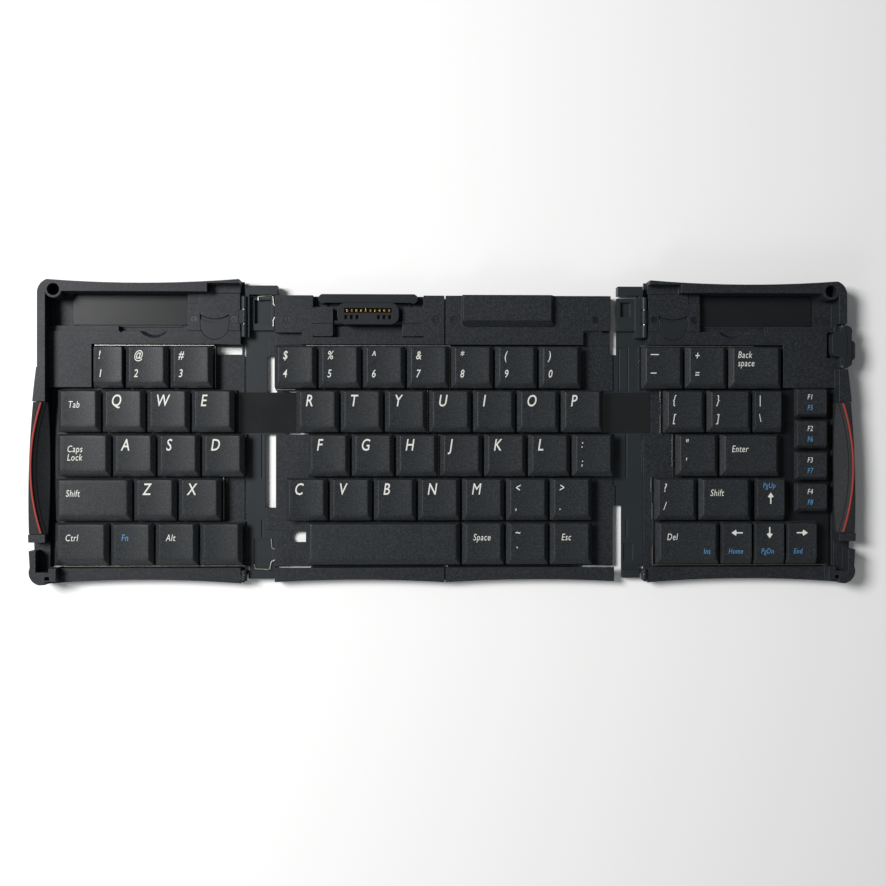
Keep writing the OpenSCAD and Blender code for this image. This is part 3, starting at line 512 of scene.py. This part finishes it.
def cap_skin(width, length, side, front, back, depth):
    """A cap round the origin, foot at z = 0: rings go up inside out, from the ceiling to the rim.

    At share f of the way up the bevels the outline is the foot's outline moved f of the way to
    the top's. The rim is at the share where the bevel is as high as the hollow.
    """
    half_x, half_y = width / 2, length / 2
    foot = rounded_outline(half_x, half_y, 0.5 * mm)
    top = rounded_outline(half_x - side, half_y - (front + back) / 2, 0.45 * mm)
    top[:, 1] += (front - back) / 2
    ceiling = rounded_outline(half_x - 1.5 * mm, half_y - 1.55 * mm, 0.4 * mm)
    ceiling[:, 1] += 0.25 * mm
    rise = CAP_HEIGHT - CAP_WALL
    share = (hollow_height(top[:, 0], half_x - side, depth) - CAP_WALL) / rise

    def bevel_ring(f, pull=0.0):
        plan = foot + (top - foot) * f[:, None]
        middle = plan.mean(0)
        plan = middle + (plan - middle) * (1 - pull / half_y)
        return np.column_stack([plan, CAP_WALL + rise * f])

    def top_ring(scale):
        middle = top.mean(0)
        plan = middle + (top - middle) * scale
        return np.column_stack([plan, hollow_height(plan[:, 0], half_x - side, depth)])

    def level(plan, z):
        return np.column_stack([plan, np.full(len(plan), z)])

    rings = [level(ceiling, CAP_HEIGHT - 0.75 * mm), level(ceiling, 0), level(foot, 0),
             level(foot, CAP_WALL - 0.1 * mm), bevel_ring(share * 0.04), bevel_ring(share - 0.12),
             bevel_ring(share - 0.03, 0.05 * mm)]
    rings += [top_ring(s) for s in (0.968, 0.8, 0.6, 0.4, 0.2)]
    return ring_skin(rings)


def cap_shape(share):
    """Side bevel, front bevel, rear bevel and hollow for a key that is share pitches wide."""
    side = 0.5 * mm if share < NARROW else 1.9 * mm
    return side, 2.6 * mm, 0.8 * mm, 0.0 if share > WIDE else HOLLOW


# %% [markdown]
# The widths of the keys, in pitches, row by row from the rear, with what is printed on each.
# Letters, digits and the names that every keyboard shares are printed as on any keyboard. The
# photograph also shows words of one product on a few keys: those keys are bare or have a
# general word, and the blue second words are the usual ones for cursor keys.

# %% Keys of the four sections
LETTER, PAIR, WORD, ARROW = "letter", "pair", "word", "arrow"


def letters(text):
    return [(1, LETTER, c) for c in text]


SECTIONS = {
    "left": [
        [(0.72, PAIR, "!1"), (1, PAIR, "@2"), (1, PAIR, "#3")],
        [(1, WORD, "Tab"), *letters("QWE")],
        [(1.25, WORD, "Caps Lock"), *letters("ASD")],
        [(1.75, WORD, "Shift"), *letters("ZX")],
        [(1.25, WORD, "Ctrl"), (1, WORD, "/Fn"), (1, WORD, "Alt"), (1, WORD, "")],
    ],
    "centre_left": [
        [(1, PAIR, "$4"), (1, PAIR, "%5"), (1, PAIR, "^6"), (1, PAIR, "&7")],
        letters("RTY"),
        letters("FGH"),
        letters("CVBN"),
        [(3.534, WORD, "")],
    ],
    "centre_right": [
        [(1, PAIR, "*8"), (1, PAIR, "(9"), (1, PAIR, ")0")],
        letters("UIOP"),
        [*letters("JKL"), (1, PAIR, ":;")],
        [(1, LETTER, "M"), (1, PAIR, "<,"), (1, PAIR, ">.")],
        [(1, WORD, "Space"), (1, PAIR, "~`"), (1, WORD, "Esc")],
    ],
    "right": [
        [(1, PAIR, "_-"), (1, PAIR, "+="), (1.25, WORD, "Back space")],
        [(1, PAIR, "{["), (1.06, PAIR, "}]"), (0.69, PAIR, "|\\")],
        [(1.02, PAIR, "\"'"), (1.41, WORD, "Enter")],
        [(1.02, PAIR, "?/"), (1.24, WORD, "Shift"), (0.06, None, ""), (0.71, ARROW, "up PgUp")],
        [(1.5, WORD, "Del /Ins"), (0.75, ARROW, "left Home"), (0.745, ARROW, "down PgDn"),
         (0.745, ARROW, "right End")],
    ],
}
HOMING = {("centre_left", 3, 0), ("centre_right", 3, 0)}
APP_LENGTH = 12.4 * mm
APP_KEYS = ["F1 /F5", "F2 /F6", "F3 /F7", "F4 /F8"]

# %% [markdown]
# Lettering is made by Blender's text object with its own plain font, at size one. A text object
# leans with its shear value, and we narrow it afterwards, as the printed letters are. Its mesh
# is then laid on the hollow: each point's height is the height of the cap's top at that x.

# %% Letters as thin solids
LETTER_WIDTH = 0.74
LETTER_LEAN = 0.2
INK = 0.035 * mm
letter_cache = {}


def letter_solid(text):
    """Points and faces of a text at size one, narrowed, with its solid depth along z from 0 to 1."""
    if text not in letter_cache:
        curve = bpy.data.curves.new("letters", "FONT")
        curve.body = text
        curve.shear = 0 if text in "\\|" else LETTER_LEAN
        curve.extrude = 0.5
        # A thickened M overlaps itself in its inner corners, so that it keeps its own weight
        curve.offset = 0 if text == "M" else 0.006 if len(text) == 1 else 0.001
        curve.space_character = 1.1
        curve.resolution_u = 3
        thing = bpy.data.objects.new("letters", curve)
        bpy.context.scene.collection.objects.link(thing)
        bpy.context.view_layer.update()
        graph = bpy.context.evaluated_depsgraph_get()
        mesh = bpy.data.meshes.new_from_object(thing.evaluated_get(graph))
        points = np.zeros(len(mesh.vertices) * 3)
        mesh.vertices.foreach_get("co", points)
        faces = [list(p.vertices) for p in mesh.polygons]
        points = points.reshape(-1, 3) * (LETTER_WIDTH, 1, 1) + (0, 0, 0.5)
        bpy.data.objects.remove(thing)
        bpy.data.curves.remove(curve)
        letter_cache[text] = (points, faces)
    return letter_cache[text]


FONT_CAP = letter_solid("H")[0][:, 1].max()
print("capital height at size one:", round(FONT_CAP, 3))

# %% Placing what is printed on a key
LETTER_AT = (3.8, 2.1, 4.9)
UPPER_AT = (3.7, 2.3, 3.5)
LOWER_AT = (3.7, 10.3, 3.3)
WORD_AT = (4.6, 4.9, 2.8)
TWO_LINES_AT = (3.5, 2.2, 2.8)
BLUE_AT = (2.2, 11.4, 2.25)
LINE_STEP = 3.6
ARROW_SIZE = 4.9
ARROW_AT, HIGH_WORD_AT, LOW_ARROW_AT = 2.2, 2.0, 6.2
DASHES = ((3.6, 3.4), (2.6, 11.4))
DASH_THICK = 0.42


def dash_solid(length, thick):
    """A flat bar whose lower left corner is at the origin, in letter units."""
    plan = np.array([(0, 0), (length, 0), (length, thick), (0, thick)]) * FONT_CAP
    return ring_skin([np.column_stack([plan, np.full(len(plan), z)]) for z in (0.0, 1.0)])


def arrow_solid(turn):
    """A flat arrow as high as a capital, centred in x, turned by that many degrees."""
    shaft, head, neck = 0.055, 0.27, 0.1
    plan = np.array([(-shaft, -0.5), (shaft, -0.5), (shaft, neck), (head, neck), (0, 0.5),
                     (-head, neck), (-shaft, neck)])
    a = math.radians(turn)
    plan = plan @ np.array([[math.cos(a), math.sin(a)], [-math.sin(a), math.cos(a)]])
    plan = (plan + (0, 0.5)) * FONT_CAP
    return ring_skin([np.column_stack([plan, np.full(len(plan), z)]) for z in (0.0, 1.0)])


ARROW_TURN = {"up": 0, "left": 90, "down": 180, "right": -90}


def prints_of(kind, text, width):
    """(solid, x from the left, y of the cap line from the rear, height, ink) of each mark, in mm."""
    if kind == LETTER:
        return [(letter_solid(text), *LETTER_AT, "white")]
    if text == "_-":
        return [(dash_solid(length / DASH_THICK, 1), UPPER_AT[0], y, DASH_THICK, "white")
                for length, y in DASHES]
    if kind == PAIR:
        inset = 1.5 if width < NARROW * PITCH else 0
        return [(letter_solid(c), x - inset, y, height, "white")
                for c, (x, y, height) in zip(text, (UPPER_AT, LOWER_AT))]
    if kind == ARROW:
        way, word = text.split(" ")
        arrow_y, word_y = (LOW_ARROW_AT, HIGH_WORD_AT) if way == "up" else (ARROW_AT, BLUE_AT[1])
        arrow = (arrow_solid(ARROW_TURN[way]), width / mm / 2, arrow_y, ARROW_SIZE, "white")
        return [arrow, (letter_solid(word), BLUE_AT[0] + 0.6, word_y, BLUE_AT[2], "blue")]
    marks, line = [], 0
    for word in text.split(" "):
        if word.startswith("/") and len(text.split(" ")) > 1:
            x = width / mm - 7.2
            marks.append((letter_solid(word[1:]), x, *BLUE_AT[1:], "blue"))
        elif word:
            ink = "blue" if word.startswith("/") else "white"
            x, y, height = TWO_LINES_AT if text == "Back space" else WORD_AT
            marks.append((letter_solid(word.lstrip("/")), x, y + line * LINE_STEP, height, ink))
            line += 1
    return marks


def laid_on(solid, corner, x, y, height, half, depth, middle_x, base_z):
    """The mark's points on a cap's top: its plan is scaled and moved, its depth sits on the hollow."""
    points, faces = solid
    plan = points[:, :2] * height * mm / FONT_CAP + (corner[0] + x * mm, corner[1] - (y + height) * mm)
    top = base_z + hollow_height(plan[:, 0] - middle_x, half, depth)
    return np.column_stack([plan, top + (points[:, 2] * 2 - 1) * INK]), faces


# %% [markdown]
# Each row of keys is one piece: its caps move together on the row's own joint. The caps and the
# print of a row ride on the same body.

# %% Build the rows
def build_row(section, row, keys):
    node = f"{section}_keys_{row}"
    low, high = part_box(node)
    body = f"{section}_row_{row}"
    y_middle = (low.y + high.y) / 2
    left = low.x - CAP_GAP / 2
    caps, inks = [], {"white": [], "blue": []}
    for k, (share, kind, text) in enumerate(keys):
        width = share * PITCH - CAP_GAP
        middle = left + share * PITCH / 2
        left += share * PITCH
        if kind is None:
            continue
        side, front, back, depth = cap_shape(share)
        points, faces = cap_skin(width, PITCH - CAP_GAP, side, front, back, depth)
        caps.append((points + (middle, y_middle, low.z), faces))
        corner = (middle - width / 2, high.y)
        half = width / 2 - side
        for solid, x, y, height, ink in prints_of(kind, text, width):
            inks[ink].append(laid_on(solid, corner, x, y, height, half, depth, middle, low.z))
        if (section, row, k) in HOMING:
            ends = [(middle + reach * mm, y_middle - 4.6 * mm, 0) for reach in (-1.5, 1.5)]
            bar = carry(ends, round_profile(0.7 * mm, 0.5 * mm))
            caps.append((bar[0] + (0, 0, low.z + CAP_HEIGHT - depth - 0.15 * mm), bar[1]))
    piece = make_piece(f"{section}_caps_{row}", caps, cap_plastic, body)
    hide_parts(node)
    for ink, finish in (("white", white_ink), ("blue", blue_ink)):
        if inks[ink]:
            make_piece(f"{section}_{ink}_print_{row}", inks[ink], finish, body, even=False)
    return len(caps)


made = sum(build_row(s, r + 1, keys) for s, rows in SECTIONS.items() for r, keys in enumerate(rows))
print("caps and bars made:", made)

# %% The column of four small keys
def build_app_keys():
    low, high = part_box("right_app_keys")
    length = APP_LENGTH
    width = high.x - low.x
    middle = (low.x + high.x) / 2
    step = (high.y - low.y - length) / (len(APP_KEYS) - 1)
    side, depth = 0.8 * mm, 0.2 * mm
    caps, inks = [], {"white": [], "blue": []}
    half, base_z = width / 2 - side, low.z
    for k, text in enumerate(APP_KEYS):
        y = high.y - length / 2 - k * step
        points, faces = cap_skin(width, length, side, 1.5 * mm, 0.7 * mm, depth)
        caps.append((points + (middle, y, low.z), faces))
        for word, line, ink in zip(text.split(" "), (2.6, 7.2), ("white", "blue")):
            corner = (middle - width / 2, y + length / 2)
            inks[ink].append(laid_on(letter_solid(word.lstrip("/")), corner, 5.0, line, 2.2,
                                     half, depth, middle, base_z))
    piece = make_piece("right_app_caps", caps, cap_plastic, "right_app_row")
    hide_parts("right_app_keys")
    make_piece("right_app_white_print", inks["white"], white_ink, "right_app_row", even=False)
    make_piece("right_app_blue_print", inks["blue"], blue_ink, "right_app_row", even=False)


build_app_keys()

# %% [markdown]
# ## Domes and scissor links
#
# Under each key stand a rubber dome and two pairs of crossed links. They are pressed flat by the
# key and again when the case is shut, which are two joints. So each is cut at mid height: the
# lower half stands on the plate, and the upper half fills the space from the half height up to
# the cap. The lower links stop a little below that cut, to clear a pressed cap.

# %% Domes and links
PLATE_TOP = 3.5 * mm
HALF_UP = 5.45 * mm
CEILING = 8.4 * mm
LINK_STOP = 5.0 * mm
LINK_AT = 4.6
LOWER_DOME = [(2.6, PLATE_TOP + 0.16 * mm), (2.55, 4.2 * mm), (2.1, 4.9 * mm), (1.95, HALF_UP)]
UPPER_DOME = [(1.95, HALF_UP), (1.9, 7.4 * mm), (1.75, 8.1 * mm), (1.3, CEILING)]
LINK_PROFILE = np.array([(-0.35, -0.35), (0.35, -0.35), (0.35, 0.35), (-0.35, 0.35)]) * mm
LINK_REACH = 2.7 * mm
SHEET_PROFILE = np.array([(-9.2, 0.02), (9.2, 0.02), (9.2, 0.16), (-9.2, 0.16)]) * mm


def turned(profile, x, y, sides=20):
    """Skin of a profile of (radius in mm, z) turned round the upright through (x, y)."""
    t = np.linspace(0, 2 * np.pi, sides, endpoint=False)
    return ring_skin([np.column_stack([x + r * mm * np.cos(t), y + r * mm * np.sin(t), np.full(sides, z)])
                      for r, z in profile])


def links(x, y, reach_x, lower):
    """Halves of two crossed pairs of links beside a dome."""
    out = []
    foot, head = PLATE_TOP + 0.5 * mm, CEILING - 0.5 * mm
    cut = LINK_STOP if lower else HALF_UP
    split = -LINK_REACH + 2 * LINK_REACH * (cut - foot) / (head - foot)
    for side in (-1, 1):
        for lean, shift in ((1, -0.45 * mm), (-1, 0.45 * mm)):
            at = x + side * reach_x + shift
            if lower:
                path = [(at, y - lean * LINK_REACH, foot), (at, y + lean * split, cut)]
            else:
                path = [(at, y + lean * split, cut), (at, y + lean * LINK_REACH, head)]
            out.append(carry(path, LINK_PROFILE))
    return out


PARENT_OF = {"left": "left_key_block", "centre_left": "centre_left", "centre_right": "centre_right",
             "right": "right_key_block"}


def key_places(section):
    """x, y and half spacing of links for every key of a section, by row body."""
    places = {}
    for row, keys in enumerate(SECTIONS[section], 1):
        low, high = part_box(f"{section}_keys_{row}")
        left, spots = low.x - CAP_GAP / 2, []
        for share, kind, _ in keys:
            if kind:
                reach = min(LINK_AT, share * 9.5 - 2.8) * mm
                spots.append((left + share * PITCH / 2, (low.y + high.y) / 2, reach))
            left += share * PITCH
        places[f"{section}_row_{row}"] = spots
    if section == "right":
        low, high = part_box("right_app_keys")
        step = (high.y - low.y - APP_LENGTH) / (len(APP_KEYS) - 1)
        places["right_app_row"] = [((low.x + high.x) / 2, high.y - APP_LENGTH / 2 - k * step, LINK_AT * mm)
                                   for k in range(len(APP_KEYS))]
    return places


def build_works(section):
    lift, parent = f"{section}_key_lift", PARENT_OF[section]
    lower_domes, lower_links = [], []
    for body, spots in key_places(section).items():
        ends = [spots[0][0] - 8 * mm, spots[-1][0] + 8 * mm]
        if body != "right_app_row":
            lower_domes.append(carry([(ends[0], spots[0][1], PLATE_TOP), (ends[1], spots[0][1], PLATE_TOP)],
                                     SHEET_PROFILE))
        lower_domes += [turned(LOWER_DOME, x, y) for x, y, _ in spots]
        lower_links += [link for x, y, reach_x in spots for link in links(x, y, reach_x, True)]
        domes = [turned(UPPER_DOME, x, y) for x, y, _ in spots]
        levers = [link for x, y, reach_x in spots for link in links(x, y, reach_x, False)]
        for word, skins, finish, slot in (("domes", domes, dome_rubber, "dome_rubber"),
                                          ("links", levers, lever_plastic, "scissor")):
            piece = make_piece(f"{body}_{word}", skins, finish, None, even=False)
            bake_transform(piece)
    piece = make_piece(f"{section}_dome_feet", lower_domes, dome_rubber, parent, even=False)
    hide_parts(f"{section}_dome_sheet")
    piece = make_piece(f"{section}_link_feet", lower_links, lever_plastic, parent, even=False)
    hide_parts(f"{section}_scissors")
    return len(lower_links) // 4


print("keys with domes and links:", sum(build_works(section) for section in SECTIONS))

# %% [markdown]
# ## Grips
#
# Each grip is a run of cross-sections from front to rear. A section goes up the outer wall, in
# over the flat rim to the ridge, and down a hollow slope towards the keys. The outer wall and
# the ridge follow two circles, a very large one and a smaller one, so that the rim is widest at
# both ends and nearly gone in the middle. The red line lies on the ridge.

# %% Grips
HALF_WIDTH = 177.4
GRIP_Y = np.array([-43.4, 12.8])
GRIP_MIDDLE = -15.3
SWELL_RADIUS, SWELL_Y = 440.0, -29.0
RIDGE_X, RIDGE_RADIUS = 176.2, 90.0
GRIP_INSIDE, GRIP_BED = 169.5, 172.45
GRIP_FOOT, GRIP_LOW, GRIP_TOP = 1.75, 5.1, 10.85
SLOPE_WIDTH = 7.0


def arc_x(y, peak, radius, middle):
    """x on a circle whose outermost point is (peak, middle)."""
    return peak - radius + np.sqrt(radius ** 2 - (y - middle) ** 2)


def grip_section(y):
    """Closed section (x, z) of the right grip at y, in mm."""
    out = arc_x(y, HALF_WIDTH, SWELL_RADIUS, SWELL_Y)
    ridge = arc_x(y, RIDGE_X, RIDGE_RADIUS, GRIP_MIDDLE)
    reach = min(SLOPE_WIDTH, ridge - GRIP_INSIDE)
    share = np.linspace(1 - reach / SLOPE_WIDTH, 1, 9)
    base = GRIP_LOW + 0.9
    slope = np.stack([ridge - SLOPE_WIDTH * (1 - share), base + (GRIP_TOP - base) * share ** 1.25], -1)
    outer = [(ridge + 0.3, GRIP_TOP + 0.02), (out - 0.7, GRIP_TOP), (out - 0.2, GRIP_TOP - 0.25),
             (out, GRIP_TOP - 0.8), (out, GRIP_FOOT + 0.4), (out - 0.4, GRIP_FOOT)]
    inner = [(GRIP_BED, GRIP_FOOT), (GRIP_BED, GRIP_LOW), (GRIP_INSIDE, GRIP_LOW)]
    return np.vstack([slope, outer, inner])


def build_grip(side, name):
    rings = []
    for y in np.linspace(*GRIP_Y, 48):
        section = grip_section(y)
        rings.append(np.column_stack([side * section[:, 0], np.full(len(section), y), section[:, 1]]) * mm)
    body = f"{name}_end"
    piece = make_piece(f"{name}_grip_rubber", [ring_skin(rings)], grip_rubber, body)
    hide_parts(f"{name}_grip")
    y = np.linspace(GRIP_Y[0] + 0.3, GRIP_Y[1] - 0.3, 60)
    ridge = arc_x(y, RIDGE_X, RIDGE_RADIUS, GRIP_MIDDLE)
    path = np.column_stack([side * ridge, y, np.full(len(y), GRIP_TOP - 0.22)]) * mm
    red = [carry(path, round_profile(0.85 * mm, 0.5 * mm))]
    make_piece(f"{name}_grip_line", red, line_rubber, body)
    # A darker rubber bead just inside the red line: painted shade standing in for a shaded groove
    shaded_groove_path = path - np.array([side * 1.5, 0, 1.15]) * mm
    make_piece(f"{name}_grip_groove_shade", [carry(shaded_groove_path, round_profile(0.35 * mm, 0.3 * mm))], foot_rubber, body)


for side, name in ((-1, "left"), (1, "right")):
    build_grip(side, name)

# %% [markdown]
# ## Ribbons
#
# Two flat cables cross the end hinges. Each is one thin sheet with many cuts across it.

# %% Ribbons
RIBBON_FLAT, RIBBON_BENT = (64.3, 83.5), (84, 89.6)
RIBBON_Y, RIBBON_Z = (17.25, -0.25), (2.36, 2.52)


def build_ribbon(side, name):
    flat, bent = np.linspace(*RIBBON_FLAT, 12), np.linspace(*RIBBON_BENT, 40)
    x = np.concatenate([flat, bent])
    (rear, front), (low, high) = RIBBON_Y, RIBBON_Z
    section = [(rear, low), (front, low), (front, high), (rear, high)]
    rings = [np.array([(side * v, *point) for point in section]) * mm for v in x]
    sheet = make_piece(f"{name}_ribbon_film", [ring_skin(rings)], film, None, even=False)
    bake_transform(sheet)
    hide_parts(f"{name}_ribbon")


build_ribbon(-1, "left")
build_ribbon(1, "right")

# %% [markdown]
# ## Label plates
#
# Behind the keys each tray has a smooth dark plate. On the real object a name is printed there;
# here both plates are bare.

# %% Label plates
LABEL_X, LABEL_Y, LABEL_Z = (111.3, 161.0), (46.3, 59.4), (2.35, 2.75)


def build_label(side, name):
    middle = np.array([side * sum(LABEL_X) / 2, sum(LABEL_Y) / 2])
    half = (LABEL_X[1] - LABEL_X[0]) / 2, (LABEL_Y[1] - LABEL_Y[0]) / 2
    rings = []
    for inset, z in ((0.0, LABEL_Z[0]), (0.0, LABEL_Z[1] - 0.15), (0.15, LABEL_Z[1])):
        plan = rounded_outline(half[0] - inset, half[1] - inset, 0.8) + middle
        rings.append(np.column_stack([plan, np.full(len(plan), z)]) * mm)
    make_piece(f"{name}_label_plate", [ring_skin(rings)], label_plastic, f"{name}_end")


for side, name in ((-1, "left"), (1, "right")):
    build_label(side, name)

# %% [markdown]
# ## Bright edges and wires
#
# Where the steel key plates end, between and beside the keys, a cut edge catches the light. Each is
# a narrow strip along a zigzag path. The left hinge strip also holds bent wire clips.

# %% Edge strips and wire clips
STRIP = [(-0.14, 0), (0.14, 0), (0.14, 0.5), (-0.14, 0.5)]
EDGES = {
    "left_key_block": [
        [(-151.0, 37.45), (-99.6, 37.45)],
        [(-168.3, -57.75), (-86.2, -57.75)],
        [(-99.15, 36.9), (-99.15, 19.2)],
        [(-95.55, -19.6), (-95.55, -38.0)],
    ],
    "centre_left": [
        [(-60.0, 37.45), (2.15, 37.45), (2.15, 18.6)],
        [(-7.45, 18.0), (-7.45, -0.4)],
        [(-2.65, -1.0), (-2.65, -19.4)],
        [(-72.6, 18.4), (-64.8, 18.4)],
    ],
    "right_key_block": [
        [(85.2, 37.45), (134.8, 37.45)],
        [(93.7, 18.0), (93.7, 12.9)],
        [(93.7, 7.8), (93.7, -0.4)],
        [(99.0, -1.0), (99.0, -15.0)],
        [(89.75, -20.0), (89.75, -26.0)],
        [(90.3, -31.0), (90.3, -38.0)],
        [(90.3, -49.5), (90.3, -57.75), (167.0, -57.75)],
    ],
}
for body, paths in EDGES.items():
    strips = [carry([(x * mm, y * mm, 4.6 * mm) for x, y in path], np.array(STRIP) * mm) for path in paths]
    make_piece(f"{body}_bright_edges", strips, bright_steel, body, even=False)

CLIPS = [
    [(-80.8, 56.9), (-80.8, 58.7), (-75.2, 59.2), (-74.4, 58.6), (-74.2, 55.6), (-73.7, 54.6)],
    [(-73.7, 49.8), (-74.3, 48.4), (-74.3, 45.8)],
    [(-73.8, -50.8), (-75.1, -50.2), (-75.4, -46.3)],
    [(-73.8, -55.6), (-75.2, -56.2), (-75.7, -57.6), (-76.0, -59.6)],
    [(-82.7, -57.4), (-82.4, -59.4), (-76.6, -59.7)],
]
CLIP_Z = (3.95, 3.95, 2.4, 2.4, 2.4)
wires = [carry([(x * mm, y * mm, z * mm) for x, y in path], round_profile(0.55 * mm, 0.38 * mm, 8))
         for path, z in zip(CLIPS, CLIP_Z)]
make_piece("left_slide_clips", wires, bright_steel, "left_slide")
print("edge strips:", sum(len(p) for p in EDGES.values()), "clips:", len(CLIPS))

# %% [markdown]
# ## Floor
#
# A plain pale table. It carries no lamp of its own: it is simply a light colour.

# %% Floor
FLOOR_REACH = 3.0
FLOOR_CORNERS = [(-1, -1), (1, -1), (1, 1), (-1, 1)]
floor_mesh = bpy.data.meshes.new("floor")
floor_mesh.from_pydata([(x * FLOOR_REACH, y * FLOOR_REACH, 0) for x, y in FLOOR_CORNERS], [], [(0, 1, 2, 3)])
floor = bpy.data.objects.new("floor", floor_mesh)
bpy.context.scene.collection.objects.link(floor)
floor_paint = bpy.data.materials.new("floor_paint")
floor_paint.use_nodes = True
paint_shader = floor_paint.node_tree.nodes["Principled BSDF"]
paint_shader.inputs["Base Color"].default_value = (0.93, 0.93, 0.92, 1)
paint_shader.inputs["Roughness"].default_value = 0.9
floor_mesh.materials.append(floor_paint)
